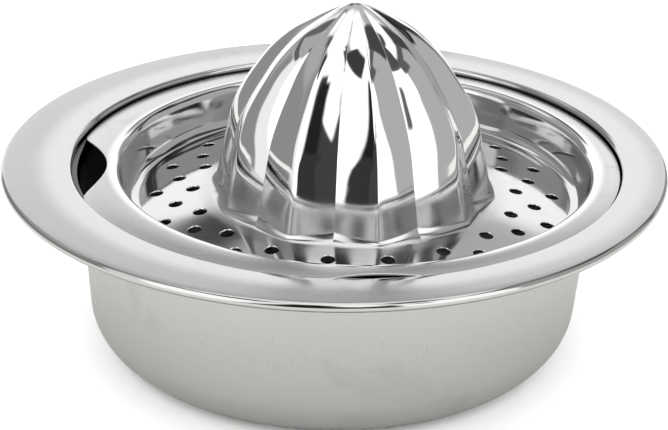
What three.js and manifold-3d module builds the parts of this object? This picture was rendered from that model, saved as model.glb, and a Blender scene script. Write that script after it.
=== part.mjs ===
// A hand juicer for citrus fruit, pressed from stainless steel in two pieces: a
// deep bowl with a wide flange, and a strainer insert with a ribbed reamer that
// sits in a seat in the flange and lifts out. Millimetres, +Z up. The origin is
// the centre of the bowl's base, on the table, and -Y is the front.
import * as THREE from 'three';
import { mergeVertices } from 'three/addons/utils/BufferGeometryUtils.js';
import Module from 'manifold-3d';

const wasm = await Module();
wasm.setup();

// Steel sheet and fits
const sheet = 0.5;
const rim_seat_gap = 0.3;
const rim_side_gap = 0.4;
const cut_overrun = 2;

// Bowl: height and radius are outside sizes, and the flange's width is the one
// that it would have all round, were the seat on the bowl's centre
const bowl_height = 47;
const body_radius = 62.2;
const body_draft = 2.4;
const base_corner_radius = 11.7;
const flange_width = 13.9;
const bead_radius = 1.15;

// Seat pressed into the flange, a little off the bowl's centre, with the top of
// the bowl's side and its mouth drawn towards it by shares of that offset
const seat_width = 3.9;
const seat_depth = 2.3;
const seat_offset_x = 3;
const seat_offset_y = -0.9;
const side_shift_share = 0.2;
const mouth_shift_share = 0.07;
const shoulder_radius = 1;
const seat_corner_radius = 0.4;
const least_ledge = 0.1;
const ledge_roll = 3;

// Insert: rim and strainer well, the well a little off the rim's centre. The
// well keeps clear of the bowl's mouth by this much, were both on one centre.
const well_offset_x = 2;
const mouth_clearance = 4.5;
const well_edge_radius = 2.3;
const well_depth = 10.75;
const well_wall_deg = 12;
const well_fillet_radius = 3.2;
const rim_crown = 0.6;
const rim_crest_width = 2.6;
const floor_rise = 3.3;

// Notches in the insert's rim, cut by a wide arc: a deep one to pour through
// and a shallower one a quarter turn further, to lift the insert by
const notch_arc_radius = 30;
const pour_notch_depth = 8;
const pour_notch_deg = 185.5;
const lift_notch_depth = 3.2;
const lift_notch_deg = 275.5;

// Strainer holes: three rings, the middle one turned by half a step, at shares
// of the way across the floor from the reamer's foot to the well's
const hole_radius = 1.6;
const hole_ring_shares = [0.264, 0.478, 0.691];
const holes_per_ring = 18;
const first_hole_deg = 1;

// Reamer: ten ribs with sharp ridges and sharp valleys between them, pressed a
// little off the well's centre
const reamer_offset_x = -0.5;
const reamer_radius = 33.8;
const reamer_height = 47.2;
const rib_count = 10;
const first_ridge_deg = -8;
const groove_depth = 2.3;
const ridge_fillet = 1.4;
const valley_fillet = 2.6;
const fillet_rise_share = 0.8;
// Outline of a ridge: its radius, in shares of the reamer's, at shares of the height
const ridge_height_shares = [0, 0.146, 0.281, 0.404, 0.552, 0.64, 0.729, 0.8, 0.86, 0.915, 0.957, 0.985, 1];
const ridge_radius_shares = [1, 0.96, 0.922, 0.884, 0.791, 0.71, 0.619, 0.524, 0.423, 0.298, 0.19, 0.104, 0];
// Depth of the valleys, in shares of the groove's depth, at the same heights
const groove_shares = [0.74, 0.8, 0.87, 0.94, 1, 0.94, 0.82, 0.7, 0.57, 0.41, 0.26, 0.13, 0];

// Steps of the round shapes
const bowl_steps = 60;
const steps_per_rib = 6;
const hole_sides = 8;
const notch_arc_steps = 72;

// Steel colours
const satin_steel = new THREE.MeshStandardMaterial({ color: 0xb9bab8, roughness: 0.35, metalness: 1 });
const polished_steel = new THREE.MeshStandardMaterial({ color: 0xc6c7c8, roughness: 0.08, metalness: 1 });

const radians = THREE.MathUtils.degToRad;
const lerp = THREE.MathUtils.lerp;

// Sizes that both pieces share
const seat_radius = body_radius + seat_width;
const ledge_z = bowl_height - seat_depth;
const rim_edge_z = ledge_z + rim_seat_gap + sheet;
const rim_radius = seat_radius - rim_side_gap;

// A point of a section: radius, height, and where its centre lies on the way
// from the first centre of the piece (0) to the second (1) and third (2)
const point = (r, z, shift = 0) => ({ r, z, shift });

// Points along an arc of a section, from one angle to another
function arc(centre_r, centre_z, radius, from_deg, to_deg, steps, shift = 0) {
  const points = [];
  for (let i = 0; i <= steps; i++) {
    const angle = radians(lerp(from_deg, to_deg, i / steps));
    points.push(point(centre_r + radius * Math.cos(angle), centre_z + radius * Math.sin(angle), shift));
  }
  return points;
}

// A closed mesh with shared vertices merged and collapsed triangles left out
function welded(geometry) {
  geometry.deleteAttribute('normal');
  geometry.deleteAttribute('uv');
  const merged = mergeVertices(geometry, sheet / 1000);
  const index = [];
  for (let i = 0; i < merged.index.count; i += 3) {
    const [a, b, c] = [merged.index.getX(i), merged.index.getX(i + 1), merged.index.getX(i + 2)];
    if (a !== b && b !== c && c !== a) index.push(a, b, c);
  }
  merged.setIndex(index);
  return merged;
}

// A lathe shape whose section may change as it turns. section(angle) gives the
// section's points, and centre(shift) the place that each point turns about.
function turned(section, centre, steps, first_deg = 0) {
  const outline = section(0).map((p) => new THREE.Vector2(p.r, p.z));
  const geometry = new THREE.LatheGeometry(outline, steps);
  const position = geometry.attributes.position;
  for (let i = 0; i <= steps; i++) {
    const angle = radians(first_deg) + ((i % steps) / steps) * 2 * Math.PI;
    section(angle).forEach((p, j) => {
      const c = centre(p.shift);
      position.setXYZ(i * outline.length + j, c.x + p.r * Math.cos(angle), c.y + p.r * Math.sin(angle), p.z);
    });
  }
  return welded(geometry);
}

function toManifold(geometry) {
  const vertProperties = new Float32Array(geometry.attributes.position.array);
  const triVerts = new Uint32Array(geometry.index.array);
  return new wasm.Manifold(new wasm.Mesh({ numProp: 3, vertProperties, triVerts }));
}

function fromManifold(solid) {
  const mesh = solid.getMesh();
  const geometry = new THREE.BufferGeometry();
  geometry.setAttribute('position', new THREE.BufferAttribute(new Float32Array(mesh.vertProperties), 3));
  geometry.setIndex(new THREE.BufferAttribute(new Uint32Array(mesh.triVerts), 1));
  geometry.computeVertexNormals();
  return geometry;
}

function named(name, geometry, material) {
  const mesh = new THREE.Mesh(geometry, material);
  mesh.name = name;
  return mesh;
}

// Bowl

// Centre of the bowl's rings: the body and the flange's edge turn about the
// origin, the seat about its own centre
const bowlCentre = (shift) => ({ x: shift * seat_offset_x, y: shift * seat_offset_y });

const flange_radius = seat_radius + flange_width;

// The mouth is as wide as the seat leaves it, but for the ledge where that is narrowest
const seat_to_mouth = (1 - mouth_shift_share) * Math.hypot(seat_offset_x, seat_offset_y);
const mouth_radius = seat_radius - seat_corner_radius - seat_to_mouth - least_ledge;

// The bowl's side rolls over into the seat's ledge: points of the roll from the
// side up, a distance below the ledge's top
function ledgeRoll(below) {
  const across = mouth_radius - (body_radius - sheet) - below;
  const points = [];
  const steps = 4;
  for (let i = 0; i <= steps; i++) {
    const turn = ((i / steps) * Math.PI) / 2;
    const to_side = Math.cos(turn);
    const z = ledge_z - ledge_roll + (ledge_roll - below) * Math.sin(turn);
    const shift = lerp(mouth_shift_share, side_shift_share, to_side);
    points.push(point(mouth_radius - across * to_side, z, shift));
  }
  return points;
}

function bowlSection() {
  const foot_radius = body_radius - body_draft;
  const side_height = ledge_z - ledge_roll - base_corner_radius;
  const lean_deg = THREE.MathUtils.radToDeg(Math.atan2(body_draft, side_height));
  const corner_r = foot_radius - base_corner_radius;
  const bead_r = flange_radius - bead_radius;
  const bead_z = bowl_height - bead_radius;
  const curl_deg = THREE.MathUtils.radToDeg(Math.asin((bead_radius - sheet) / bead_radius));
  const shoulder_r = seat_radius + shoulder_radius;
  const shoulder_z = bowl_height - shoulder_radius;
  const corner_z = ledge_z + seat_corner_radius;
  const seat_corner_r = seat_radius - seat_corner_radius;

  const outside = [
    point(0, 0),
    ...arc(corner_r, base_corner_radius, base_corner_radius, -90, -lean_deg, 5),
    ...ledgeRoll(sheet),
    ...arc(seat_corner_r, corner_z, seat_corner_radius + sheet, -90, 0, 2, 1),
    ...arc(shoulder_r, shoulder_z, shoulder_radius - sheet, 180, 90, 3, 1),
  ];
  const bead = [
    ...arc(bead_r, bead_z, bead_radius, curl_deg - 180, 0, 6),
    ...arc(bead_r, bead_z, bead_radius, 0, 90, 3),
  ];
  const inside = [
    ...arc(shoulder_r, shoulder_z, shoulder_radius, 90, 180, 4, 1),
    ...arc(seat_corner_r, corner_z, seat_corner_radius, 0, -90, 2, 1),
    ...ledgeRoll(0).reverse(),
    ...arc(corner_r, base_corner_radius, base_corner_radius - sheet, -lean_deg, -90, 5),
    point(0, sheet),
  ];
  return [...outside, ...bead, ...inside];
}

function juiceBowl() {
  const section = bowlSection();
  return named('juice_bowl', turned(() => section, bowlCentre, bowl_steps), satin_steel);
}

// Insert

// Centre of the insert's rings: the rim's first, then the well's and the reamer's
function insertCentre(shift) {
  const to_well = Math.min(shift, 1) * well_offset_x;
  const to_reamer = Math.max(shift - 1, 0) * reamer_offset_x;
  return { x: seat_offset_x + to_well + to_reamer, y: seat_offset_y };
}

const well_radius = body_radius - 2 * sheet - mouth_clearance;
const crest_z = rim_edge_z + rim_crown;
const wall_sine = Math.sin(radians(well_wall_deg));
const wall_cosine = Math.cos(radians(well_wall_deg));
const wall_top_z = crest_z - well_edge_radius * (1 - wall_sine);
const floor_foot_z = crest_z - well_depth;
const floor_foot_radius = well_radius - ((wall_top_z - floor_foot_z) * wall_sine) / wall_cosine;
const floor_angle = Math.atan(floor_rise / (floor_foot_radius - reamer_radius));

// Height of the strainer's floor, a flat cone that rises towards the reamer
function floorHeight(r) {
  return floor_foot_z + Math.tan(floor_angle) * (floor_foot_radius - r);
}

// Value at a share of the reamer's height, from a table at the ridge's heights
function atHeight(table, share) {
  const k = Math.max(1, ridge_height_shares.findIndex((s) => s >= share - Number.EPSILON));
  const [low, high] = [ridge_height_shares[k - 1], ridge_height_shares[k]];
  return lerp(table[k - 1], table[k], (share - low) / (high - low));
}

// How far a place round the reamer is from its ridge (0) towards the valley (1)
function valleyShare(angle) {
  const pitch = (2 * Math.PI) / rib_count;
  const turn = THREE.MathUtils.euclideanModulo(angle - radians(first_ridge_deg), pitch) / pitch;
  return 1 - Math.abs(2 * turn - 1);
}

function reamerRadius(share, valley) {
  const groove = groove_depth * atHeight(groove_shares, share) * valley;
  return reamer_radius * atHeight(ridge_radius_shares, share) - groove;
}

// Top line of the rim, from its edge to the crest beside the well
function rimLine() {
  const crest_r = well_radius + rim_crest_width;
  const steps = 4;
  const points = [];
  for (let i = 0; i <= steps; i++) {
    const u = i / steps;
    const bulge = 1 - (1 - u) * (1 - u);
    points.push(point(lerp(rim_radius, crest_r, u), lerp(rim_edge_z, crest_z, bulge), u));
  }
  return points;
}

// Top line of the well: rounded edge, leaning wall, and the fillet that touches
// the wall and the floor
function wellLine() {
  const floor_deg = THREE.MathUtils.radToDeg(floor_angle);
  const edge_r = well_radius + well_edge_radius * wall_cosine;
  const corner_angle = Math.PI / 2 + radians(well_wall_deg) - floor_angle;
  const up_wall = well_fillet_radius / Math.tan(corner_angle / 2);
  const fillet_r = floor_foot_radius + up_wall * wall_sine - well_fillet_radius * wall_cosine;
  const fillet_z = floor_foot_z + up_wall * wall_cosine + well_fillet_radius * wall_sine;
  return [
    ...arc(edge_r, crest_z - well_edge_radius, well_edge_radius, 90, 180 - well_wall_deg, 4, 1),
    ...arc(fillet_r, fillet_z, well_fillet_radius, -well_wall_deg, -90 - floor_deg, 4, 1),
  ];
}

// Top line of the reamer at a place round it: fillet, flank and tip
function reamerLine(angle) {
  const valley = valleyShare(angle);
  const fillet = lerp(ridge_fillet, valley_fillet, valley);
  const foot_r = reamerRadius(0, valley);
  const foot_z = floorHeight(foot_r);
  const start = { r: foot_r + fillet, z: floorHeight(foot_r + fillet) };
  const end_share = (fillet_rise_share * fillet) / reamer_height;
  const end = { r: reamerRadius(end_share, valley), z: foot_z + end_share * reamer_height };
  const line = [];
  const steps = 4;
  for (let i = 0; i <= steps; i++) {
    const u = i / steps;
    const [a, b, c] = [(1 - u) * (1 - u), 2 * u * (1 - u), u * u];
    line.push(point(a * start.r + b * foot_r + c * end.r, a * start.z + b * foot_z + c * end.z, 2));
  }
  const tip_z = floorHeight(reamer_radius) + reamer_height;
  for (const share of ridge_height_shares.slice(1)) {
    const rise = lerp(end.z, tip_z, share);
    const height_share = lerp(end_share, 1, share);
    line.push(point(Math.max(0, reamerRadius(height_share, valley)), rise, 2));
  }
  return line;
}

// The same line one sheet lower, square to the section
function underside(line) {
  return line.map((p, i) => {
    const before = line[Math.max(0, i - 1)];
    const after = line[Math.min(line.length - 1, i + 1)];
    const [dr, dz] = [after.r - before.r, after.z - before.z];
    const length = Math.hypot(dr, dz);
    const on_end = i === 0 || i === line.length - 1;
    if (on_end) return point(p.r, p.z - sheet, p.shift);
    return point(Math.max(0, p.r - (sheet * dz) / length), p.z + (sheet * dr) / length, p.shift);
  });
}

function insertSection(angle) {
  const top = [...rimLine(), ...wellLine(), ...reamerLine(angle)];
  return [...underside(top).reverse(), ...top];
}

// Round cutter that stands on end through the sheet
function cutter(radius, sides, x, y, low, high) {
  const geometry = new THREE.CylinderGeometry(radius, radius, high - low, sides);
  geometry.rotateX(Math.PI / 2);
  geometry.translate(x, y, (low + high) / 2);
  return toManifold(welded(geometry));
}

function strainerHoles() {
  const centre = insertCentre(1);
  const low = floor_foot_z - sheet - cut_overrun;
  const high = floorHeight(reamer_radius) + cut_overrun;
  const cutters = [];
  hole_ring_shares.forEach((share, ring) => {
    const ring_radius = lerp(reamer_radius, floor_foot_radius, share);
    const half_step = ring % 2 ? 0.5 : 0;
    for (let i = 0; i < holes_per_ring; i++) {
      const angle = radians(first_hole_deg + ((i + half_step) * 360) / holes_per_ring);
      const x = centre.x + ring_radius * Math.cos(angle);
      const y = centre.y + ring_radius * Math.sin(angle);
      cutters.push(cutter(hole_radius, hole_sides, x, y, low, high));
    }
  });
  return cutters;
}

function rimNotch(depth, angle_deg) {
  const centre = insertCentre(0);
  const reach = rim_radius - depth + notch_arc_radius;
  const x = centre.x + reach * Math.cos(radians(angle_deg));
  const y = centre.y + reach * Math.sin(radians(angle_deg));
  const low = rim_edge_z - sheet - cut_overrun;
  return cutter(notch_arc_radius, notch_arc_steps, x, y, low, crest_z + cut_overrun);
}

function reamerInsert() {
  const blank = turned(insertSection, insertCentre, rib_count * steps_per_rib, first_ridge_deg);
  const cutters = [
    ...strainerHoles(),
    rimNotch(pour_notch_depth, pour_notch_deg),
    rimNotch(lift_notch_depth, lift_notch_deg),
  ];
  const solid = cutters.reduce((part, tool) => part.subtract(tool), toManifold(blank));
  return named('reamer_insert', fromManifold(solid), polished_steel);
}

const juicer = new THREE.Group();
juicer.add(juiceBowl(), reamerInsert());

export default juicer;
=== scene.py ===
"""A hand citrus juicer of pressed stainless steel: the bowl and the strainer insert that sits in it."""
import math

import bpy
import numpy as np
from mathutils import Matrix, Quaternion, Vector


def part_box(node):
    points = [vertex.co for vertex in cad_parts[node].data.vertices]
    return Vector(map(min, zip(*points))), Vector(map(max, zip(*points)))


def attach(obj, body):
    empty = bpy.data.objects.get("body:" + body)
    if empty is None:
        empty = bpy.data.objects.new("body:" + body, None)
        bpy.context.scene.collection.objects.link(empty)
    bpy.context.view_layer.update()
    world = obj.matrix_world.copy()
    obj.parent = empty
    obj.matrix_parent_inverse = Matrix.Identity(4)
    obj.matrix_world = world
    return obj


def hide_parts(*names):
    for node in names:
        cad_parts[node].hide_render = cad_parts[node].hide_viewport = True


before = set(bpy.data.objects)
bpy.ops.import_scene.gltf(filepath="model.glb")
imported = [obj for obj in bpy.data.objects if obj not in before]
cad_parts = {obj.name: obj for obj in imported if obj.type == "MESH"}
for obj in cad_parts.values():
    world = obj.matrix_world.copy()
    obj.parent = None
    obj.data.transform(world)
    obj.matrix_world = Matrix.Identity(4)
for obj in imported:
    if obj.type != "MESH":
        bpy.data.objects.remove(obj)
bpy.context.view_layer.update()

mm = 0.001

# Sizes that the frame gives
bowl_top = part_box("juice_bowl")[1]
flange_radius = bowl_top.x
bowl_height = bowl_top.z
tip_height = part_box("reamer_insert")[1].z

# Steel sheet and fits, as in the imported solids
sheet = 0.5 * mm
rim_seat_gap = 0.3 * mm
rim_side_gap = 0.4 * mm

# Bowl, outside sizes
body_radius = 62.2 * mm
body_draft = 2.4 * mm
base_corner_radius = 11.7 * mm
bead_radius = 1.15 * mm
seat_width = 3.9 * mm
seat_depth = 2.3 * mm
seat_offset_x = 3 * mm
seat_offset_y = -0.9 * mm
side_shift_share = 0.2
mouth_shift_share = 0.07
shoulder_radius = 1 * mm
seat_corner_radius = 0.4 * mm
least_ledge = 0.1 * mm
ledge_roll = 3 * mm

# Insert: rim and strainer well
well_offset_x = 2 * mm
mouth_clearance = 4.5 * mm
well_edge_radius = 2.3 * mm
well_depth = 10.75 * mm
well_wall_lean = math.radians(12)
well_fillet_radius = 3.2 * mm
rim_crown = 0.6 * mm
rim_crest_width = 2.6 * mm
floor_rise = 3.3 * mm

# Notches in the insert's rim, each with half the angle that it takes of the rim
notch_sizes = ("depth", "direction", "half angle")
pour_notch = (8 * mm, math.radians(185.5), math.radians(15.4))
lift_notch = (3.2 * mm, math.radians(275.5), math.radians(11))
notch_corner = 2.5 * mm

# Strainer holes
hole_radius = 1.6 * mm
hole_lip = 0.4 * mm
hole_lip_turn = math.radians(50)
hole_reach = 3 * sheet
hole_rings = 3
hole_ring_radius = 39.3 * mm
hole_ring_step = 4.45 * mm
holes_per_ring = 18
first_hole = math.radians(1)

# Reamer
reamer_offset_x = -0.5 * mm
reamer_radius = 33.8 * mm
rib_count = 10
first_ridge = math.radians(-8)
groove_depth = 2.3 * mm
rib_crowding = 0.8
ridge_fillet = 1.4 * mm
valley_fillet = 2.6 * mm
fillet_rise_share = 0.8
ridge_rounding_shares = (0.1, 0.03)
crooked_ridge = math.radians(-44)
crooked_ridge_turn = math.radians(4.5)
crooked_ridge_spread = math.radians(8)
ridge_height_shares = [0, 0.146, 0.281, 0.404, 0.552, 0.64, 0.729, 0.8, 0.86, 0.915, 0.957, 0.985, 1]
ridge_radius_shares = [1, 0.96, 0.922, 0.884, 0.791, 0.71, 0.619, 0.524, 0.423, 0.298, 0.19, 0.104, 0]
groove_shares = [0.74, 0.8, 0.87, 0.94, 1, 0.94, 0.82, 0.7, 0.57, 0.41, 0.26, 0.13, 0]

# Fineness of the turned shapes
bowl_steps = 360
steps_per_rib = 40
hole_sides = 32
sharp_angle = math.radians(35)
weld_distance = sheet / 1000

# Sizes that follow from those
seat_radius = body_radius + seat_width
ledge_height = bowl_height - seat_depth
seat_to_mouth = (1 - mouth_shift_share) * math.hypot(seat_offset_x, seat_offset_y)
mouth_radius = seat_radius - seat_corner_radius - seat_to_mouth - least_ledge
rim_edge_height = ledge_height + rim_seat_gap + sheet
rim_radius = seat_radius - rim_side_gap
well_radius = body_radius - 2 * sheet - mouth_clearance
crest_height = rim_edge_height + rim_crown
crest_radius = well_radius + rim_crest_width
well_wall_top = crest_height - well_edge_radius * (1 - math.sin(well_wall_lean))
floor_foot_height = crest_height - well_depth
floor_foot_radius = well_radius - (well_wall_top - floor_foot_height) * math.tan(well_wall_lean)
floor_slope = floor_rise / (floor_foot_radius - reamer_radius)

# Centres that the rings of each piece turn about
bowl_centre = (0, 0)
seat_centre = (seat_offset_x, seat_offset_y)
side_centre = (side_shift_share * seat_offset_x, side_shift_share * seat_offset_y)
mouth_centre = (mouth_shift_share * seat_offset_x, mouth_shift_share * seat_offset_y)
well_centre = (seat_offset_x + well_offset_x, seat_offset_y)
reamer_centre = (well_centre[0] + reamer_offset_x, seat_offset_y)


class Value:
    """A node's output that sums and multiplies as a number does, by adding Math nodes to its tree."""

    def __init__(self, tree, socket):
        self.tree = tree
        self.socket = socket

    def math(self, operation, *others):
        node = self.tree.nodes.new("ShaderNodeMath")
        node.operation = operation
        for socket, value in zip(node.inputs, (self, *others)):
            plug(self.tree, socket, value)
        return Value(self.tree, node.outputs[0])

    def __add__(self, other):
        return self.math("ADD", other)

    def __radd__(self, other):
        return self.math("ADD", other)

    def __sub__(self, other):
        return self.math("SUBTRACT", other)

    def __rsub__(self, other):
        return self.math("MULTIPLY", -1).math("ADD", other)

    def __mul__(self, other):
        return self.math("MULTIPLY", other)

    def __rmul__(self, other):
        return self.math("MULTIPLY", other)

    def __truediv__(self, other):
        return self.math("DIVIDE", other)

    def __rtruediv__(self, other):
        return self.math("POWER", -1) * other

    def clamped(self):
        return self.math("MINIMUM", 1.0).math("MAXIMUM", 0.0)


def plug(tree, socket, value):
    """Links a value to a socket, or sets the socket to a plain number, colour or name."""
    if isinstance(value, Value):
        tree.links.new(value.socket, socket)
    else:
        socket.default_value = value


def add(tree, kind, inputs=(), output=0, **settings):
    """Adds a node, sets it up, plugs its inputs by name or place, and gives one of its outputs."""
    node = tree.nodes.new(kind)
    for name, value in settings.items():
        setattr(node, name, value)
    for name, value in dict(inputs).items():
        plug(tree, node.inputs[name], value)
    return Value(tree, node.outputs[output])


def split(tree, place):
    """The three parts of a place or direction."""
    node = add(tree, "ShaderNodeSeparateXYZ", {0: place}).socket.node
    return [Value(tree, socket) for socket in node.outputs]


def vector(tree, x, y, z=0.0):
    return add(tree, "ShaderNodeCombineXYZ", {0: x, 1: y, 2: z})


def around_axis(tree, radius, turn, height=0.0):
    """Place at a radius and a turn about the upright axis."""
    return vector(tree, radius * turn.math("COSINE"), radius * turn.math("SINE"), height)


def summed(tree, one, other):
    return add(tree, "ShaderNodeVectorMath", {0: one, 1: other}, operation="ADD")


def new_tree(name, kind, inputs, outputs):
    """An empty node group with named sockets, and the values that come in by name."""
    tree = bpy.data.node_groups.new(name, kind)
    for label, socket_type, default in inputs:
        socket = tree.interface.new_socket(label, in_out="INPUT", socket_type=socket_type)
        if default is not None:
            socket.default_value = default
    for label, socket_type in outputs:
        tree.interface.new_socket(label, in_out="OUTPUT", socket_type=socket_type)
    start = tree.nodes.new("NodeGroupInput")
    return tree, {socket.name: Value(tree, socket) for socket in start.outputs if socket.name}


def close_tree(tree, **results):
    """Plugs a group's results into its outputs."""
    end = tree.nodes.new("NodeGroupOutput")
    for name, value in results.items():
        plug(tree, end.inputs[name], value)


def vectors(*names):
    """Inputs that hold a place or direction each."""
    return [(name, "NodeSocketVector", None) for name in names]


def numbers(*names, **defaults):
    """Inputs that hold a number each, zero unless a default is given. An underscore stands for a space."""
    defaults = {**dict.fromkeys(names, 0.0), **defaults}
    return [(name.replace("_", " "), "NodeSocketFloat", value) for name, value in defaults.items()]


def mesh_tree(name, inputs):
    """An empty geometry tree that gives a mesh."""
    return new_tree(name, "GeometryNodeTree", inputs, [("Mesh", "NodeSocketGeometry")])


def use_group(tree, group, inputs, kind="GeometryNodeGroup"):
    """Places a node group in a tree with its own values."""
    return add(tree, kind, inputs, node_tree=group)


# Sections, from the axis on the underside round the edge and back to the axis on top. A ring of a section is
# its radius and height on a ridge, the same in a valley, the place it turns about, its share of the rim, and
# how much of the way to the valley its ridge is rounded.


def ring(r, z, centre, valley_r=None, valley_z=None, rim_share=0.0, rounding=0.1):
    in_valley = (r, z) if valley_r is None else (valley_r, valley_z)
    return np.array([r, z, *in_valley, *centre, rim_share, rounding])


def arc(centre_r, centre_z, radius, from_deg, to_deg, steps, centre):
    """Rings along an arc, both ends included."""
    turns = [math.radians(from_deg + (to_deg - from_deg) * i / steps) for i in range(steps + 1)]
    return [ring(centre_r + radius * math.cos(a), centre_z + radius * math.sin(a), centre) for a in turns]


def joined(*runs):
    """Runs of rings in a row. A number between two runs is how many steps lead from one to the next."""
    rings = list(runs[0])
    for steps, run in zip(runs[1::2], runs[2::2]):
        last, first = rings[-1], run[0]
        rings += [last + (first - last) * i / steps for i in range(1, steps)]
        rings += list(run)
    return rings


def smooth_through(places, steps):
    """Points on a smooth line through places, which meets the axis square at the last of them."""
    mirrored = np.array(places[-2]) * [-1, 1, 1]
    points = np.array([*places, mirrored])
    along = np.concatenate([[0], np.cumsum(np.linalg.norm(np.diff(points[:, :2], axis=0), axis=1))])
    slopes = np.gradient(points, along, axis=0)
    wanted = np.linspace(0, along[-2], steps + 1)
    spans = np.clip(np.searchsorted(along, wanted, side="right") - 1, 0, len(places) - 2)
    width = (along[spans + 1] - along[spans])[:, None]
    t = (wanted - along[spans])[:, None] / width
    start, end = points[spans], points[spans + 1]
    leave, arrive = slopes[spans] * width, slopes[spans + 1] * width
    blend = 3 * t**2 - 2 * t**3
    return start + (end - start) * blend + leave * (t**3 - 2 * t**2 + t) + arrive * (t**3 - t**2)


def lowered(points):
    """The same line one sheet lower, square to it."""
    run = np.gradient(points, axis=0)
    run[-1] = (-1, 0)
    square = np.stack([-run[:, 1], run[:, 0]], axis=1) / np.linalg.norm(run, axis=1)[:, None]
    lower = points + sheet * square
    lower[:, 0] = np.maximum(lower[:, 0], 0)
    return lower


def underside(rings):
    """The rings one sheet lower, from the last back to the first."""
    lower = np.array(rings)
    lower[:, 0:2] = lowered(lower[:, 0:2])
    lower[:, 2:4] = lowered(lower[:, 2:4])
    return list(lower[::-1])


def section_mesh(name, rings):
    """A section as a line of points whose attributes hold what the turning tree reads."""
    rings = np.array(rings)
    empty = np.zeros(len(rings))
    mesh = bpy.data.meshes.new(name)
    ridge = np.stack([rings[:, 0], empty, rings[:, 1]], axis=1)
    mesh.from_pydata(ridge.tolist(), [(i, i + 1) for i in range(len(rings) - 1)], [])
    valley = mesh.attributes.new("valley", "FLOAT_VECTOR", "POINT")
    valley.data.foreach_set("vector", np.stack([rings[:, 2], empty, rings[:, 3]], axis=1).ravel())
    centre = mesh.attributes.new("centre", "FLOAT_VECTOR", "POINT")
    centre.data.foreach_set("vector", np.stack([rings[:, 4], rings[:, 5], empty], axis=1).ravel())
    for column, share in ((6, "rim_share"), (7, "ridge_rounding")):
        mesh.attributes.new(share, "FLOAT", "POINT").data.foreach_set("value", rings[:, column].copy())
    piece = bpy.data.objects.new(name, mesh)
    bpy.context.scene.collection.objects.link(piece)
    return piece


def mouth_rings(below):
    """The bowl's side rolls over into the ledge. Its rings pass from the side's centre to the mouth's."""
    across = mouth_radius - (body_radius - sheet) - below
    rings = []
    steps = 10
    for i in range(steps + 1):
        to_side = math.cos(math.pi / 2 * i / steps)
        up = (ledge_roll - below) * math.sin(math.pi / 2 * i / steps)
        centre = [mouth + (side - mouth) * to_side for mouth, side in zip(mouth_centre, side_centre)]
        rings.append(ring(mouth_radius - across * to_side, ledge_height - ledge_roll + up, centre))
    return rings


def bowl_section():
    """Outside of the bowl from its base up, the curled bead, and back down the inside."""
    lean = math.degrees(math.atan2(body_draft, ledge_height - ledge_roll - base_corner_radius))
    corner_r = body_radius - body_draft - base_corner_radius
    bead_r = flange_radius - bead_radius
    bead_z = bowl_height - bead_radius
    curl = math.degrees(math.asin((bead_radius - sheet) / bead_radius))
    shoulder_r = seat_radius + shoulder_radius
    shoulder_z = bowl_height - shoulder_radius
    ledge_corner_r = seat_radius - seat_corner_radius
    ledge_corner_z = ledge_height + seat_corner_radius
    corner_z = base_corner_radius
    return joined(
        [ring(0, 0, bowl_centre)],
        6,
        arc(corner_r, corner_z, base_corner_radius, -90, -lean, 18, bowl_centre),
        10,
        mouth_rings(sheet),
        3,
        arc(ledge_corner_r, ledge_corner_z, seat_corner_radius + sheet, -90, 0, 7, seat_centre),
        1,
        arc(shoulder_r, shoulder_z, shoulder_radius - sheet, 180, 90, 7, seat_centre),
        6,
        arc(bead_r, bead_z, bead_radius, curl - 180, 90, 27, bowl_centre),
        8,
        arc(shoulder_r, shoulder_z, shoulder_radius, 90, 180, 9, seat_centre),
        1,
        arc(ledge_corner_r, ledge_corner_z, seat_corner_radius, 0, -90, 7, seat_centre),
        3,
        mouth_rings(0)[::-1],
        10,
        arc(corner_r, corner_z, base_corner_radius - sheet, -lean, -90, 18, bowl_centre),
        6,
        [ring(0, sheet, bowl_centre)],
    )


def floor_height(r):
    """Height of the strainer's floor, a flat cone that rises towards the reamer."""
    return floor_foot_height + floor_slope * (floor_foot_radius - r)


def rim_rings():
    """Top of the rim, from its rounded edge to the crest beside the well."""
    rings = []
    steps = 12
    start = rim_radius - sheet / 2
    for i in range(steps + 1):
        u = i / steps
        z = rim_edge_height + rim_crown * (1 - (1 - u) ** 2)
        centre = (seat_offset_x + well_offset_x * u, seat_offset_y)
        rings.append(ring(start + (crest_radius - start) * u, z, centre, rim_share=1 - u))
    return rings


def edge_rings():
    """The rounded edge of the rim, from its underside to its top."""
    rings = arc(rim_radius - sheet / 2, rim_edge_height - sheet / 2, sheet / 2, -90, 90, 8, seat_centre)[1:-1]
    for edge_ring in rings:
        edge_ring[6] = 1
    return rings


def well_edge_rings():
    """The rounded edge between the rim's crest and the well's wall."""
    lean = math.degrees(well_wall_lean)
    edge_r = well_radius + well_edge_radius * math.cos(well_wall_lean)
    return arc(edge_r, crest_height - well_edge_radius, well_edge_radius, 90, 180 - lean, 11, well_centre)


def well_fillet_rings():
    """The arc that touches the well's wall and its floor."""
    cone = math.atan(floor_slope)
    corner = math.pi / 2 + well_wall_lean - cone
    radius = well_fillet_radius
    up_wall = radius / math.tan(corner / 2)
    sine, cosine = math.sin(well_wall_lean), math.cos(well_wall_lean)
    fillet_r = floor_foot_radius + up_wall * sine - radius * cosine
    fillet_z = floor_foot_height + up_wall * cosine + radius * sine
    from_deg, to_deg = -math.degrees(well_wall_lean), -90 - math.degrees(cone)
    return arc(fillet_r, fillet_z, radius, from_deg, to_deg, 12, well_centre)


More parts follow.
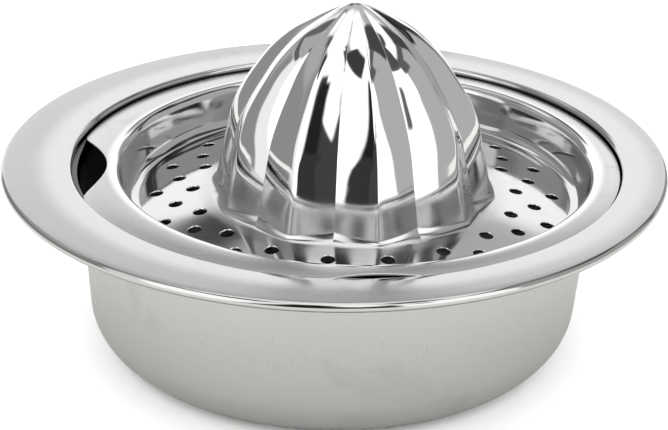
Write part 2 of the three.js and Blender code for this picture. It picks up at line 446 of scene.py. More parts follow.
def flank_line(fillet, valley):
    """Foot, flank and tip of the reamer, on a ridge (valley 0) or in a valley (valley 1)."""
    foot_z = floor_height(reamer_radius)
    height = tip_height - foot_z
    places = []
    for share, radius, groove in zip(ridge_height_shares, ridge_radius_shares, groove_shares):
        places.append((reamer_radius * radius, foot_z + height * share, groove_depth * groove))
    flank = smooth_through(places, 90)
    flank = np.stack([flank[:, 0] - valley * flank[:, 2], flank[:, 1]], axis=1)
    foot = np.array([flank[0, 0], floor_height(flank[0, 0])])
    start = np.array([foot[0] + fillet, floor_height(foot[0] + fillet)])
    first = int(np.searchsorted(flank[:, 1], foot[1] + fillet_rise_share * fillet))
    u = np.linspace(0, 1, 11)[:, None]
    bend = start * (1 - u) ** 2 + foot * 2 * u * (1 - u) + flank[first] * u**2
    rest = np.linspace(first, len(flank) - 1, 41).round().astype(int)[1:]
    return np.concatenate([bend, flank[rest]])


def reamer_rings():
    """Top of the reamer. Its ridges are rounded more at the foot than at the tip."""
    ridge, valley = flank_line(ridge_fillet, 0), flank_line(valley_fillet, 1)
    at_foot, at_tip = ridge_rounding_shares
    rings = []
    for (r, z), (valley_r, valley_z) in zip(ridge, valley):
        up = (z - floor_foot_height) / (tip_height - floor_foot_height)
        rounding = at_foot + (at_tip - at_foot) * up
        rings.append(ring(r, z, reamer_centre, valley_r, valley_z, rounding=rounding))
    return rings


def insert_section():
    """Underside of the insert from the reamer's tip out to the rim, round its edge, and back on top."""
    top = joined(rim_rings(), 1, well_edge_rings(), 5, well_fillet_rings(), 7, reamer_rings())
    return underside(top) + edge_rings() + top


# Geometry node trees, and the inputs that several of them share
section_socket = ("Section", "NodeSocketGeometry", None)
mesh_socket = ("Mesh", "NodeSocketGeometry", None)
rib_sockets = [
    ("Ribs", "NodeSocketInt", 1),
    ("Steps per rib", "NodeSocketInt", 8),
    *numbers("First ridge", "Crowding", "Crooked ridge", "Crooked ridge turn", Crooked_ridge_spread=1.0),
]
rim_sizes = ("Corner", "Rim width", "Well offset", "Crown")
finish_sockets = [("Sharp angle", "NodeSocketFloat", 0.5), ("Steel", "NodeSocketMaterial", None)]


def stored(tree, name, data_type):
    """Attribute of the mesh by its name."""
    return add(tree, "GeometryNodeInputNamedAttribute", {"Name": name}, data_type=data_type)


def turned_tree():
    """Turns a section about its rings' centres. Between ridges it bends towards the section's valley line."""
    tree, given = mesh_tree("turned_section", [section_socket, *rib_sockets])
    points = add(tree, "GeometryNodeAttributeDomainSize", {"Geometry": given["Section"]}, component="MESH")
    columns = given["Ribs"] * given["Steps per rib"] + 1
    sides = {"Size X": 1.0, "Size Y": 1.0, "Vertices X": columns, "Vertices Y": points}
    grid = add(tree, "GeometryNodeMeshGrid", sides)
    index = add(tree, "GeometryNodeInputIndex")
    column = add(tree, "FunctionNodeIntegerMath", {0: index, 1: points}, operation="DIVIDE_FLOOR")
    row = add(tree, "FunctionNodeIntegerMath", {0: index, 1: points}, operation="MODULO")

    def sampled(field, data_type):
        inputs = {"Geometry": given["Section"], "Value": field, "Index": row}
        return add(tree, "GeometryNodeSampleIndex", inputs, data_type=data_type, domain="POINT")

    on_ridge = sampled(add(tree, "GeometryNodeInputPosition"), "FLOAT_VECTOR")
    in_valley = sampled(stored(tree, "valley", "FLOAT_VECTOR"), "FLOAT_VECTOR")
    centre = sampled(stored(tree, "centre", "FLOAT_VECTOR"), "FLOAT_VECTOR")
    rim_share = sampled(stored(tree, "rim_share", "FLOAT"), "FLOAT")

    rib_turn = column / given["Steps per rib"]
    drawn_in = (rib_turn * (4 * math.pi)).math("SINE") * given["Crowding"] / (4 * math.pi)
    rib_turn = rib_turn - drawn_in
    to_valley = 1 - (rib_turn.math("FRACT") * 2 - 1).math("ABSOLUTE")
    rounding = sampled(stored(tree, "ridge_rounding", "FLOAT"), "FLOAT")
    edge = (to_valley * to_valley + rounding * rounding).math("SQRT") - rounding
    full = (rounding * rounding + 1).math("SQRT") - rounding
    mix_inputs = {"Factor": edge / full, 4: on_ridge, 5: in_valley}
    place = add(tree, "ShaderNodeMix", mix_inputs, output=1, data_type="VECTOR")
    turn = given["First ridge"] + rib_turn * (2 * math.pi) / given["Ribs"]
    from_crooked = (turn - given["Crooked ridge"]).math("WRAP", math.pi, -math.pi)
    from_crooked = from_crooked / given["Crooked ridge spread"]
    turn = turn + given["Crooked ridge turn"] * (from_crooked * from_crooked * -1).math("EXPONENT")

    radius, _, height = split(tree, place)
    position = summed(tree, around_axis(tree, radius, turn, height), centre)
    mesh = add(tree, "GeometryNodeSetPosition", {"Geometry": grid, "Position": position})
    outwards = vector(tree, turn.math("COSINE"), turn.math("SINE"))
    for name, value, kind in (("outwards", outwards, "FLOAT_VECTOR"), ("rim_share", rim_share, "FLOAT")):
        inputs = {"Geometry": mesh, "Name": name, "Value": value}
        mesh = add(tree, "GeometryNodeStoreNamedAttribute", inputs, data_type=kind)
    mesh = add(tree, "GeometryNodeMergeByDistance", {"Geometry": mesh, "Distance": weld_distance})
    close_tree(tree, Mesh=mesh)
    return tree


def notch_tree():
    """Draws the rim's edge in along an arc whose corners run smoothly into the rim."""
    sizes = numbers("Depth", "Direction", "Half angle", *rim_sizes)
    tree, given = mesh_tree("rim_notch", [mesh_socket, *sizes])
    outwards = stored(tree, "outwards", "FLOAT_VECTOR")
    rim_share = stored(tree, "rim_share", "FLOAT")
    middle = vector(tree, given["Direction"].math("COSINE"), given["Direction"].math("SINE"))
    alike = add(tree, "ShaderNodeVectorMath", {0: outwards, 1: middle}, output=1, operation="DOT_PRODUCT")
    spread = (1 - alike) / (1 - given["Half angle"].math("COSINE"))
    cut = (given["Depth"] * (1 - spread)).math("SMOOTH_MAX", 0.0, given["Corner"])
    cosine, sine, _ = split(tree, outwards)
    kept = 1 - cut / (given["Rim width"] - given["Well offset"] * cosine)
    inwards = rim_share * cut * -1
    up = given["Crown"] * rim_share * rim_share * (1 - kept * kept)
    shift = vector(tree, inwards * cosine, inwards * sine, up)
    mesh = add(tree, "GeometryNodeSetPosition", {"Geometry": given["Mesh"], "Offset": shift})
    close_tree(tree, Mesh=mesh)
    return tree


def cutter_tree():
    """A round punch, wider at its top so that the hole's lip is rounded. Its lip ends at height zero."""
    sizes = numbers("Radius", "Lip", "Lip turn", "Reach")
    tree, given = mesh_tree("hole_punch", [*sizes, ("Sides", "NodeSocketInt", 16)])
    lip_steps = 5
    levels = lip_steps + 2
    inputs = {"Vertices": given["Sides"], "Side Segments": levels, "Radius": 1.0, "Depth": float(levels)}
    mesh = add(tree, "GeometryNodeMeshCylinder", inputs, fill_type="NGON")
    x, y, level = split(tree, add(tree, "GeometryNodeInputPosition"))
    level = level + levels / 2
    above = (level - (lip_steps + 1)).math("MAXIMUM", 0.0)
    below = (1 - level).math("MAXIMUM", 0.0)
    lip_turn = ((level - 1) / lip_steps).clamped() * given["Lip turn"]
    wide = given["Radius"] + given["Lip"] * (1 - lip_turn.math("COSINE")) + above * given["Lip"]
    high = given["Lip"] * (lip_turn.math("SINE") - given["Lip turn"].math("SINE") + above)
    place = vector(tree, x * wide, y * wide, high - given["Reach"] * below)
    mesh = add(tree, "GeometryNodeSetPosition", {"Geometry": mesh, "Position": place})
    close_tree(tree, Mesh=mesh)
    return tree


def perforation_tree(punch):
    """Punches rings of holes in the strainer's floor, each square to the sloping sheet."""
    counts = [(name, "NodeSocketInt", 1) for name in ("Rings", "Holes per ring", "Sides")]
    rings = numbers("Inner ring radius", "Ring step", "First hole", "Floor slope", "Foot radius")
    holes = numbers("Hole radius", "Lip", "Lip turn", "Reach")
    sockets = [mesh_socket, *counts, *rings, *holes, *vectors("Foot")]
    tree, given = mesh_tree("strainer_perforation", sockets)
    shared = {0: add(tree, "GeometryNodeInputIndex"), 1: given["Holes per ring"]}
    ring_index = add(tree, "FunctionNodeIntegerMath", shared, operation="DIVIDE_FLOOR")
    hole_index = add(tree, "FunctionNodeIntegerMath", shared, operation="MODULO")
    half_step = (ring_index / 2).math("FRACT")
    turn = given["First hole"] + (hole_index + half_step) * (2 * math.pi) / given["Holes per ring"]
    radius = given["Inner ring radius"] + given["Ring step"] * ring_index
    rise = given["Floor slope"] * (given["Foot radius"] - radius)
    place = summed(tree, around_axis(tree, radius, turn, rise), given["Foot"])
    count = given["Rings"] * given["Holes per ring"]
    points = add(tree, "GeometryNodePoints", {"Count": count, "Position": place})
    square = around_axis(tree, given["Floor slope"], turn, 1.0)
    rotation = add(tree, "FunctionNodeAlignRotationToVector", {"Vector": square}, axis="Z")
    sizes = {name: given[name] for name in ("Lip", "Lip turn", "Reach", "Sides")}
    cutter = use_group(tree, punch, {"Radius": given["Hole radius"], **sizes})
    copies = {"Points": points, "Instance": cutter, "Rotation": rotation}
    cutters = add(tree, "GeometryNodeInstanceOnPoints", copies)
    cutters = add(tree, "GeometryNodeRealizeInstances", {"Geometry": cutters})
    meshes = {"Mesh 1": given["Mesh"], "Mesh 2": cutters}
    mesh = add(tree, "GeometryNodeMeshBoolean", meshes, operation="DIFFERENCE", solver="MANIFOLD")
    close_tree(tree, Mesh=mesh)
    return tree


def finish_tree():
    """Realizes the mesh, shades it smooth up to its sharp edges and gives it its steel."""
    tree, given = mesh_tree("steel_finish", [mesh_socket, *finish_sockets])
    mesh = given["Mesh"]
    for name in ("outwards", "rim_share"):
        mesh = add(tree, "GeometryNodeRemoveAttribute", {"Geometry": mesh, "Name": name})
    mesh = add(tree, "GeometryNodeSetShadeSmooth", {"Geometry": mesh, "Shade Smooth": True}, domain="FACE")
    angle = add(tree, "GeometryNodeInputMeshEdgeAngle")
    sharp = add(tree, "FunctionNodeCompare", {0: angle, 1: given["Sharp angle"]}, operation="GREATER_THAN")
    smooth_inputs = {"Geometry": mesh, "Selection": sharp, "Shade Smooth": False}
    mesh = add(tree, "GeometryNodeSetShadeSmooth", smooth_inputs, domain="EDGE")
    mesh = add(tree, "GeometryNodeRealizeInstances", {"Geometry": mesh})
    mesh = add(tree, "GeometryNodeSetMaterial", {"Geometry": mesh, "Material": given["Steel"]})
    close_tree(tree, Mesh=mesh)
    return tree


def bowl_tree(turned, finish):
    """The bowl: turned and finished."""
    steps = ("Steps", "NodeSocketInt", 8)
    tree, given = mesh_tree("pressed_bowl", [section_socket, steps, *finish_sockets])
    mesh = use_group(tree, turned, {"Section": given["Section"], "Ribs": 1, "Steps per rib": given["Steps"]})
    look = {name: given[name] for name, _, _ in finish_sockets}
    mesh = use_group(tree, finish, {"Mesh": mesh, **look})
    close_tree(tree, Mesh=mesh)
    return tree


def insert_tree(turned, notch, perforation, finish):
    """The strainer insert: turned with its ribs, notched twice, perforated and finished."""
    rim = numbers(*rim_sizes)
    notches = numbers(*[f"{use} notch {size}" for use in ("Pour", "Lift") for size in notch_sizes])
    punched = [item for item in perforation.interface.items_tree if item.in_out == "INPUT"]
    holes = [(item.name, item.socket_type, None) for item in punched if item.name != "Mesh"]
    sockets = [section_socket, *rib_sockets, *rim, *notches, *holes, *finish_sockets]
    tree, given = mesh_tree("pressed_insert", sockets)

    def passed_on(sockets):
        return {name: given[name] for name, _, _ in sockets}

    mesh = use_group(tree, turned, passed_on([section_socket, *rib_sockets]))
    for use in ("Pour", "Lift"):
        sizes = {size.capitalize(): given[f"{use} notch {size}"] for size in notch_sizes}
        mesh = use_group(tree, notch, {"Mesh": mesh, **sizes, **passed_on(rim)})
    mesh = use_group(tree, perforation, {"Mesh": mesh, **passed_on(holes)})
    mesh = use_group(tree, finish, {"Mesh": mesh, **passed_on(finish_sockets)})
    close_tree(tree, Mesh=mesh)
    return tree


def made_by(tree, section, name, inputs):
    """Runs a tree on a section and gives the result as a plain mesh object at the origin."""
    modifier = section.modifiers.new(name, "NODES")
    modifier.node_group = tree
    for item in tree.interface.items_tree:
        if item.in_out == "INPUT" and item.name in inputs:
            modifier[item.identifier] = inputs[item.name]
    evaluated = section.evaluated_get(bpy.context.evaluated_depsgraph_get())
    mesh = bpy.data.meshes.new_from_object(evaluated)
    mesh.name = name
    section.modifiers.remove(modifier)
    bpy.data.objects.remove(section)
    piece = bpy.data.objects.new(name, mesh)
    bpy.context.scene.collection.objects.link(piece)
    return piece


# Materials. Wear draws a steel from its fresh grey to its worn one, and on the insert painted shade does too.
# Each mark adds its share to a steel's roughness or wear.
satin_grey, worn_satin_grey = (0.61, 0.615, 0.605, 1), (0.45, 0.445, 0.43, 1)
mirror_grey, worn_and_shaded_mirror_grey = (0.84, 0.84, 0.84, 1), (0.63, 0.635, 0.635, 1)
# Near-black grey of the painted shade under the bead's curl and in the seat's corner below its shoulder
painted_shade_grey = (0.06, 0.058, 0.054, 1)
least_wear = 0.1
satin_roughness, satin_rougher = 0.31, {"lines": 0.08, "stains": 0.05, "die marks": 0.1}
bead_roughness, bead_rougher = 0.07, {"stains": 0.03}
mirror_roughness, mirror_rougher = 0.045, {"foot": 0.1, "well": 0.03, "stains": 0.035}
brushed_roughness, brushed_rougher = 0.27, {"lines": 0.02, "stains": 0.04}
satin_wear = {"lines": 0.2, "stains": 0.22, "die marks": 1.2}
# The insert's well and foot shares are painted shade, darker deep in the well and round the reamer's foot
insert_wear_and_shade = {"stains": 0.25, "rim": 0.75, "rim's lines": 0.12, "well": 0.8, "foot": 0.5}

# Depth of the brushed lines, and how fine the marks of each piece are
bowl_line_depth = 0.0005 * mm
rim_line_depth = 0.0002 * mm
turns_of_a_line = 0.12
bowl_marks = {"line": 0.16 * mm, "stain": 22 * mm, "stained": 0.3, "wave": 30 * mm, "rise": 0.05 * mm}
insert_marks = {"line": 0.14 * mm, "stain": 12 * mm, "stained": 0.22, "wave": 9 * mm, "rise": 0.02 * mm}

# Zones of the finishes and of the painted shade: how far each reaches from the edge beside it, how soft its
# border is, and the depths under the bowl's top or the heights over the floor between which it fades
bead_polish, bead_softness = 0.6 * bead_radius, 0.8 * mm
seat_polish, seat_softness = 6.5 * mm, 8 * mm
curl_reach, curl_softness = 4 * mm, 2 * mm
curl_depths = (1.35 * bead_radius, 1.75 * bead_radius)
corner_inwards, corner_outwards, corner_softness = 1.9 * mm, 0.4 * mm, 0.5 * mm
corner_depths = (0.6 * shoulder_radius, 1.3 * shoulder_radius)
rim_softness = 2.4 * mm
foot_reach, well_reach, well_softness = 3 * mm, 1 * mm, 3 * mm
well_heights = (4 * mm, 11 * mm)

# Scratches that the drawing die left on the bowl's side: how fine and long they are, where the surface holds
# them (noise levels), how they crowd, and the middle, half the height and the fading of their band
scratch_scale, scratch_length, scratch_levels = 110, 9 * mm, (0.6, 0.72)
crowd_scale, crowd_length, crowd_levels = 2.2, 14 * mm, (0.42, 0.62)
scratch_middle, scratch_reach, scratch_fading = 0.52 * bowl_height, 8 * mm, 0.7


def new_material(name):
    """A material, its tree and shader, and the place in the piece that its nodes read."""
    material = bpy.data.materials.new(name)
    material.use_nodes = True
    tree = material.node_tree
    tree.nodes.clear()
    shader = tree.nodes.new("ShaderNodeBsdfPrincipled")
    end = tree.nodes.new("ShaderNodeOutputMaterial")
    tree.links.new(shader.outputs[0], end.inputs["Surface"])
    return material, tree, shader, add(tree, "ShaderNodeTexCoord", output="Object")


def shader_tree(name, inputs, output):
    return new_tree(name, "ShaderNodeTree", inputs, [(output, "NodeSocketFloat")])


def shader_group(tree, group, inputs):
    return use_group(tree, group, inputs, kind="ShaderNodeGroup")


def smooth_step(tree, value, low, high):
    inputs = {"Value": value, "From Min": low, "From Max": high}
    return add(tree, "ShaderNodeMapRange", inputs, interpolation_type="SMOOTHSTEP")


def soft_edge(tree, inside):
    """Mask that rises over one softness, half of it outside an edge and half inside."""
    return smooth_step(tree, inside, -0.5, 0.5)


def blended(tree, mask, without, inside):
    return add(tree, "ShaderNodeMix", {"Factor": mask, 2: without, 3: inside}, data_type="FLOAT")


def round_place(tree, place, centre):
    """Distance from an upright axis, height, and the cosine and sine of the turn round the axis."""
    from_axis = add(tree, "ShaderNodeVectorMath", {0: place, 1: centre}, operation="SUBTRACT")
    x, y, z = split(tree, from_axis)
    radius = (x * x + y * y).math("SQRT").math("MAXIMUM", sheet)
    return radius, z, x / radius, y / radius


def ring_zone_group():
    """Mask of the band between two radii about an upright axis, and above a height."""
    limits = numbers("Inner radius", Outer_radius=1.0, Lowest=-1.0, Softness=0.001)
    tree, given = shader_tree("ring_zone", vectors("Place", "Centre") + limits, "Mask")
    radius, height, _, _ = round_place(tree, given["Place"], given["Centre"])
    inside = (radius - given["Inner radius"]).math("MINIMUM", given["Outer radius"] - radius)
    inside = inside.math("MINIMUM", height - given["Lowest"]) / given["Softness"]
    close_tree(tree, Mask=soft_edge(tree, inside))
    return tree


def fine_brushing_group():
    """Fine lines that run round an upright axis, as a polishing belt leaves them: values about zero."""
    sizes = numbers(Line_width=0.001, Turns_of_a_line=1.0)
    tree, given = shader_tree("fine_brushing", vectors("Place", "Centre") + sizes, "Lines")
    radius, height, cosine, sine = round_place(tree, given["Place"], given["Centre"])
    width, turns = given["Line width"], given["Turns of a line"]
    spot = vector(tree, radius / width, height / width, cosine / turns)
    grain = {"Vector": spot, "W": sine / turns, "Scale": 1.0, "Detail": 2.0, "Roughness": 0.6}
    lines = add(tree, "ShaderNodeTexNoise", grain, noise_dimensions="4D")
    close_tree(tree, Lines=lines - 0.5)
    return tree


def smudges_group():
    """Patches of handling and old water stains, from none (0) to full (1)."""
    sizes = numbers(Size=0.01, Share_of_the_surface=0.3)
    tree, given = shader_tree("smudges", vectors("Place") + sizes, "Mask")
    scale = 1 / given["Size"]
    patches = {"Vector": given["Place"], "Scale": scale, "Detail": 4.0, "Roughness": 0.62, "Distortion": 0.6}
    noise = add(tree, "ShaderNodeTexNoise", patches)
    clean_level, level_range, patch_edge = 0.68, 0.36, 0.12
    level = clean_level - given["Share of the surface"] * level_range
    close_tree(tree, Mask=smooth_step(tree, noise - level, 0.0, patch_edge))
    return tree


def press_waves_group():
    """Slow unevenness that pressing leaves in the sheet, as a height about zero."""
    sizes = numbers("Height", Wave_length=0.01)
    tree, given = shader_tree("press_waves", vectors("Place") + sizes, "Height")
    waves = {"Vector": given["Place"], "Scale": 1 / given["Wave length"], "Detail": 1.0, "Roughness": 0.4}
    noise = add(tree, "ShaderNodeTexNoise", waves)
    close_tree(tree, Height=(noise - 0.5) * given["Height"])
    return tree


def grey_between(tree, amount, one, other):
    """Colour between two greys."""
    inputs = {"Factor": amount, 6: one, 7: other}
    return add(tree, "ShaderNodeMix", inputs, output=2, data_type="RGBA")


def bumped(tree, height):
    """Normal of a surface raised by a height in metres."""
    return add(tree, "ShaderNodeBump", {"Height": height, "Distance": 1.0, "Strength": 1.0})


def with_marks(base, shares, marks):
    """A value with each mark's share added to it."""
    for name, share in shares.items():
        base = marks[name] * share + base
    return base


def steel_marks(tree, effects, place, centre, sizes):
    """Brushed lines and stains of a piece of steel, and the height of its press waves."""
    _, brushing, smudges, waves = effects
    belt = {"Centre": (*centre, 0), "Line width": sizes["line"], "Turns of a line": turns_of_a_line}
    lines = shader_group(tree, brushing, {"Place": place, **belt})
    patches = {"Size": sizes["stain"], "Share of the surface": sizes["stained"]}
    stains = shader_group(tree, smudges, {"Place": place, **patches})
    press = {"Wave length": sizes["wave"], "Height": sizes["rise"]}
    return {"lines": lines, "stains": stains}, shader_group(tree, waves, {"Place": place, **press})


def ring_band(tree, effects, place, centre, inner, outer, softness, lowest=-1.0):
    """Mask of the band between two radii about a centre, and above a height."""
    radii = {"Inner radius": inner, "Outer radius": outer}
    spot = {"Place": place, "Centre": (*centre, 0), "Lowest": lowest}
    return shader_group(tree, effects[0], {**spot, **radii, "Softness": softness})


def steel_look(tree, shader, colour, roughness, height):
    plug(tree, shader.inputs["Base Color"], colour)
    plug(tree, shader.inputs["Roughness"], roughness)
    plug(tree, shader.inputs["Normal"], bumped(tree, height))
    shader.inputs["Metallic"].default_value = 1


def satin_steel(effects):
    """The bowl: satin, polished on its bead and round its seat, with near-black painted shade under the
    bead's curl and in the seat's corner.
    """
    material, tree, shader, place = new_material("satin_steel")
    marks, uneven = steel_marks(tree, effects, place, bowl_centre, bowl_marks)
    marks["die marks"] = die_marks(tree, place)
    height = split(tree, place)[2]
    past_edge = 2 * flange_radius
    seat_floor = ledge_height - 5 * sheet

    def band(centre, inner, outer, softness, lowest=-1.0):
        return ring_band(tree, effects, place, centre, inner, outer, softness, lowest)

    bead = band(bowl_centre, flange_radius - bead_polish, past_edge, bead_softness)
    seat = band(seat_centre, 0.0, seat_radius + seat_polish, seat_softness, seat_floor)
    curl = band(bowl_centre, body_radius + curl_reach, past_edge, curl_softness)
    corner_start, corner_end = seat_radius - corner_inwards, seat_radius + corner_outwards
    corner = band(seat_centre, corner_start, corner_end, corner_softness, seat_floor)

    def sunk(least, most):
        """Mask that rises between two depths under the bowl's top."""
        return 1 - smooth_step(tree, height, bowl_height - most, bowl_height - least)

    polished = bead.math("MAXIMUM", seat)
    # Painted shade: the grey goes near black under the bead's curl and in the seat's corner below its
    # shoulder.
    painted_shade = (curl * sunk(*curl_depths)).math("MAXIMUM", corner * sunk(*corner_depths))

    satin = with_marks(satin_roughness, satin_rougher, marks)
    roughness = blended(tree, polished, satin, with_marks(bead_roughness, bead_rougher, marks))
    wear = with_marks(least_wear, satin_wear, marks).clamped()
    worn = grey_between(tree, wear, satin_grey, worn_satin_grey)
    colour = grey_between(tree, painted_shade, worn, painted_shade_grey)
    relief = uneven + marks["lines"] * (1 - polished) * bowl_line_depth
    steel_look(tree, shader, colour, roughness, relief)
    return material


def die_marks(tree, place):
    """Faint short upright scratches round the middle of the bowl's side, where the drawing die let go."""
    _, height, cosine, sine = round_place(tree, place, (*bowl_centre, 0))

    def noise(scale, length, detail):
        spot = vector(tree, cosine * scale, sine * scale, height / length)
        return add(tree, "ShaderNodeTexNoise", {"Vector": spot, "Detail": detail})

    scratched = smooth_step(tree, noise(scratch_scale, scratch_length, 2.0), *scratch_levels)
    crowded = smooth_step(tree, noise(crowd_scale, crowd_length, 1.0), *crowd_levels)
    in_band = 1 - ((height - scratch_middle) / scratch_reach).math("ABSOLUTE")
    return scratched * smooth_step(tree, in_band, 0.0, scratch_fading) * crowded


def polished_steel(effects):
    """The insert: a mirror, with a finely brushed rim and a duller polish in its well, whose grey is darkened
    deep down and round the reamer's foot as painted shade.
    """
    material, tree, shader, place = new_material("polished_steel")
    marks, uneven = steel_marks(tree, effects, place, seat_centre, insert_marks)
    height = split(tree, place)[2]
    floor_top = floor_foot_height + floor_rise
    deep = 1 - smooth_step(tree, height, *[floor_top + up for up in well_heights])
    past_axis = -2 * reamer_radius
    foot_end, well_end = reamer_radius + foot_reach, well_radius + well_reach
    rim = ring_band(tree, effects, place, well_centre, crest_radius, 2 * flange_radius, rim_softness)
    foot = ring_band(tree, effects, place, reamer_centre, past_axis, foot_end, well_softness)
    well = ring_band(tree, effects, place, well_centre, past_axis, well_end, well_softness)
    # Deep in the well and round the reamer's foot the grey is darkened: painted shade.
    marks.update({"rim": rim, "rim's lines": rim * marks["lines"], "foot": foot * deep, "well": well * deep})

    mirror = with_marks(mirror_roughness, mirror_rougher, marks)
    roughness = blended(tree, rim, mirror, with_marks(brushed_roughness, brushed_rougher, marks))
    wear = with_marks(least_wear, insert_wear_and_shade, marks).clamped()
    colour = grey_between(tree, wear, mirror_grey, worn_and_shaded_mirror_grey)
    steel_look(tree, shader, colour, roughness, uneven + marks["rim's lines"] * rim_line_depth)
    return material


# Camera, light and floor

frame_width, frame_height = 668, 430
camera_distance = 496.58 * mm
camera_elevation = math.radians(23.02)
camera_roll = math.radians(-0.86)
camera_focal_px = 2052.1
flange_centre_px = (334.57, 153.29)
sensor_width = 36
clip_distances = (0.01, 10)

floor_reach = 0.6
floor_sides = 96
card_shades = (0.93, 0.93, 0.93, 1), (0.97, 0.97, 0.97, 1)
# The card's grey as the steel mirrors it and as bounced light leaves it: darker than the card the camera
# sees, a painted shade
mirrored_card_painted_shade = (0.52, 0.515, 0.5, 1)
card_roughness = 0.7
fibre_scale = 900.0
fibre_depth = 0.01 * mm

# The studio: each panel's middle and half its width round the juicer, from the back over the right, its
# lowest and highest rise, its lean sideways and its half width's growth from the lowest rise up, both for
# each degree of rise, its edges' softness, all in degrees, and its light
panel_numbers = ("Middle", "Half width", "Lowest", "Highest", "Lean", "Growth", "Softness", "Light")
studio_wall_light = 1.3
studio_backdrop_light = 1.0
studio_fill_light = 2.4
studio_panel_rounding = 5.0
studio_panels = [
    ("upper part of the back wall", 0, 44, 26, 62, 0, 90, 16, 0.58),
    ("lit lower part of the back wall", 0, 60, 0, 29, 0, 90, 4, 1.3),
    ("dark opening in the back wall", 358, 13, 29, 38, 0, 90, 3, 0.08),
    ("grey door, back right", 34, 11, -90, 24, 0, 90, 6, 0.4),
    ("grey wall, right", 80, 39, -90, 57, -0.08, 90, 3, 0.5),
    ("black arch, back right", 47, 18, 36, 46, 0, 90, 3, 0.02),
    ("foot of the arch", 35, 5, 20, 40, 0.1, 90, 3, 0.05),
    ("cable at the arch", 54, 2, 6, 34, -0.3, 90, 2, 0.06),
    ("dark cabinet, high right", 61, 14, 39, 62, 0, 90, 3, 0.07),
    ("softbox, front right", 139, 20, -90, 56, -0.08, 90, 3, 1.6),
    ("light stand, front right", 148.5, 4, 29, 43, 0, 90, 3, 0.15),
    ("rail, high right", 112, 40, 55, 61, 0, 90, 3, 0.12),
    ("lamp under the rail", 108, 12, 49, 58, 0, 90, 4, 0.13),
    ("dark board over the rail", 132, 17, 58, 76, 0, 90, 4, 0.09),
    ("ceiling rail", 98, 35, 72.5, 79.5, 0, 90, 4, 0.1),
    ("camera flag", 178, 20, -90, 60, 0, 90, 5, 0.06),
    ("gap in the flag", 171, 13, 26, 66, 0, 0.8, 4, 1.5),
    ("camera", 198, 8, -90, 54, -0.25, 90, 5, 0.018),
    ("softbox, front left", 229, 25.5, -90, 57, 0.15, 90, 3, 1.6),
    ("tripod, front left", 200, 10, -90, 15, -0.6, 90, 4, 0.04),
    ("softbox's dim side", 251, 12, -90, 51, 0.33, 90, 4, 1.02),
    ("grey wall, left", 290, 35, -90, 46, 0.3, 90, 3, 0.31),
    ("upper part of the left wall", 297, 23, 24, 46, 0.2, 90, 14, 0.47),
    ("shelf over the left wall", 288, 26, 46, 50.5, 0, 90, 2, 0.14),
    ("wall over the shelf", 283, 27, 50, 66, 0, 90, 3, 0.46),
    ("upright, back left", 317, 7, 45, 66, -0.2, 90, 3, 0.15),
    ("lamp, back left", 323, 7, 41, 50, 0, 90, 4, 1.4),
    ("dark umbrella, high front left", 238, 24, 56, 75, 0, 90, 4, 0.05),
]


def photo_camera():
    """Camera at the photographed view. The flange's centre is a little off the middle of the picture."""
    data = bpy.data.cameras.new("camera")
    data.sensor_width = sensor_width
    data.lens = camera_focal_px * sensor_width / frame_width
    data.clip_start, data.clip_end = clip_distances
    camera = bpy.data.objects.new("camera", data)
    bpy.context.scene.collection.objects.link(camera)
    back = Vector((0, -math.cos(camera_elevation), math.sin(camera_elevation)))
    across = flange_centre_px[0] - frame_width / 2
    down = flange_centre_px[1] - frame_height / 2
    straight = back.to_track_quat("Z", "Y")
    roll = Quaternion((0, 0, 1), camera_roll)
    aside = Vector((0, 0, -1)).rotation_difference(Vector((across, -down, -camera_focal_px)))
    camera.rotation_mode = "QUATERNION"
    camera.rotation_quaternion = straight @ roll.inverted() @ aside.inverted()
    camera.location = Vector((0, 0, bowl_height)) + back * camera_distance
    bpy.context.scene.camera = camera


def pale_floor():
    """A round of pale card under the juicer, a little rough, as it shows round the juicer in the picture. In
    reflections and bounced light it is a darker grey, painted shade.
    """
    mesh = bpy.data.meshes.new("floor")
    turns = [2 * math.pi * i / floor_sides for i in range(floor_sides)]
    corners = [(floor_reach * math.cos(a), floor_reach * math.sin(a), 0) for a in turns]
    mesh.from_pydata(corners, [], [range(floor_sides)])
    floor = bpy.data.objects.new("floor", mesh)
    bpy.context.scene.collection.objects.link(floor)
    material, tree, shader, place = new_material("pale_card")
    fibres = add(tree, "ShaderNodeTexNoise", {"Vector": place, "Scale": fibre_scale, "Detail": 3.0})
    card = grey_between(tree, fibres, *card_shades)
    seen = add(tree, "ShaderNodeLightPath", output="Is Camera Ray")
    # The camera sees the pale card. Every other ray sees its darker painted shade.
    plug(tree, shader.inputs["Base Color"], grey_between(tree, seen, mirrored_card_painted_shade, card))
    plug(tree, shader.inputs["Normal"], bumped(tree, (fibres - 0.5) * fibre_depth))
    shader.inputs["Roughness"].default_value = card_roughness
    mesh.materials.append(material)


def studio_panel_group():
    """One soft-edged panel of the studio, laid over the light behind it. Angles are in degrees."""
    inputs = numbers("Turn", "Rise", *panel_numbers, "Behind")
    tree, given = shader_tree("studio_panel", inputs, "Light")
    aside = (given["Turn"] - given["Middle"] - given["Lean"] * given["Rise"]).math("WRAP", 180.0, -180.0)
    half_width = given["Half width"].math("MINIMUM", (given["Rise"] - given["Lowest"]) * given["Growth"])
    across = half_width - aside.math("ABSOLUTE")
    upright = (given["Rise"] - given["Lowest"]).math("MINIMUM", given["Highest"] - given["Rise"])
    inside = across.math("SMOOTH_MIN", upright, studio_panel_rounding) / given["Softness"]
    close_tree(tree, Light=blended(tree, soft_edge(tree, inside), given["Behind"], given["Light"]))
    return tree


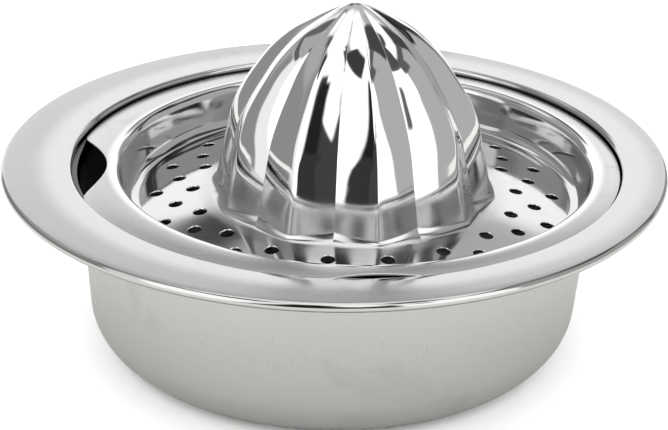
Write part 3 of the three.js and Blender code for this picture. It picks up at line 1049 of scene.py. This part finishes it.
def studio_light():
    """The studio that the steel mirrors, panels of light and dark. The camera sees a plain wall."""
    world = bpy.data.worlds.new("studio")
    world.use_nodes = True
    bpy.context.scene.world = world
    tree = world.node_tree
    direction = add(tree, "ShaderNodeTexCoord", output="Generated")
    x, y, z = split(tree, direction)
    turn = x.math("ARCTAN2", y) * math.degrees(1)
    rise = z.math("ARCSINE") * math.degrees(1)
    light = studio_wall_light
    panel_group = studio_panel_group()
    for name, *sizes in studio_panels:
        panel = dict(zip(panel_numbers, sizes))
        light = shader_group(tree, panel_group, {"Turn": turn, "Rise": rise, **panel, "Behind": light})
        light.socket.node.label = name
    on_card = add(tree, "ShaderNodeLightPath", output="Is Diffuse Ray")
    seen = add(tree, "ShaderNodeLightPath", output="Is Camera Ray")
    light = blended(tree, on_card, light, studio_fill_light)
    background = tree.nodes["Background"]
    plug(tree, background.inputs["Strength"], blended(tree, seen, light, studio_backdrop_light))
    background.inputs["Color"].default_value = (1, 1, 1, 1)


def build_bowl(turned, finish, effects):
    section = section_mesh("bowl_section", bowl_section())
    inputs = {"Steps": bowl_steps, "Sharp angle": sharp_angle, "Steel": satin_steel(effects)}
    bowl = made_by(bowl_tree(turned, finish), section, "satin_bowl", inputs)
    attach(bowl, "bowl")
    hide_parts("juice_bowl")


def build_insert(turned, finish, effects):
    section = section_mesh("insert_section", insert_section())
    tree = insert_tree(turned, notch_tree(), perforation_tree(cutter_tree()), finish)
    inputs = {
        "Ribs": rib_count,
        "Steps per rib": steps_per_rib,
        "First ridge": first_ridge,
        "Crowding": rib_crowding,
        "Crooked ridge": crooked_ridge,
        "Crooked ridge turn": crooked_ridge_turn,
        "Crooked ridge spread": crooked_ridge_spread,
        "Corner": notch_corner,
        "Rim width": rim_radius - crest_radius,
        "Well offset": well_offset_x,
        "Crown": rim_crown,
        "Rings": hole_rings,
        "Holes per ring": holes_per_ring,
        "Inner ring radius": hole_ring_radius,
        "Ring step": hole_ring_step,
        "First hole": first_hole,
        "Hole radius": hole_radius,
        "Lip": hole_lip,
        "Lip turn": hole_lip_turn,
        "Reach": hole_reach,
        "Sides": hole_sides,
        "Floor slope": floor_slope,
        "Foot": (well_centre[0], well_centre[1], floor_foot_height),
        "Foot radius": floor_foot_radius,
        "Sharp angle": sharp_angle,
        "Steel": polished_steel(effects),
    }
    for use, notch in (("Pour", pour_notch), ("Lift", lift_notch)):
        for size, value in zip(notch_sizes, notch):
            inputs[f"{use} notch {size}"] = value
    insert = made_by(tree, section, "polished_insert", inputs)
    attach(insert, "insert")
    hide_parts("reamer_insert")


bpy.context.scene.view_settings.view_transform = "Standard"
photo_camera()
pale_floor()
studio_light()
shape_groups = (turned_tree(), finish_tree())
steel_effects = (ring_zone_group(), fine_brushing_group(), smudges_group(), press_waves_group())
build_bowl(*shape_groups, steel_effects)
build_insert(*shape_groups, steel_effects)
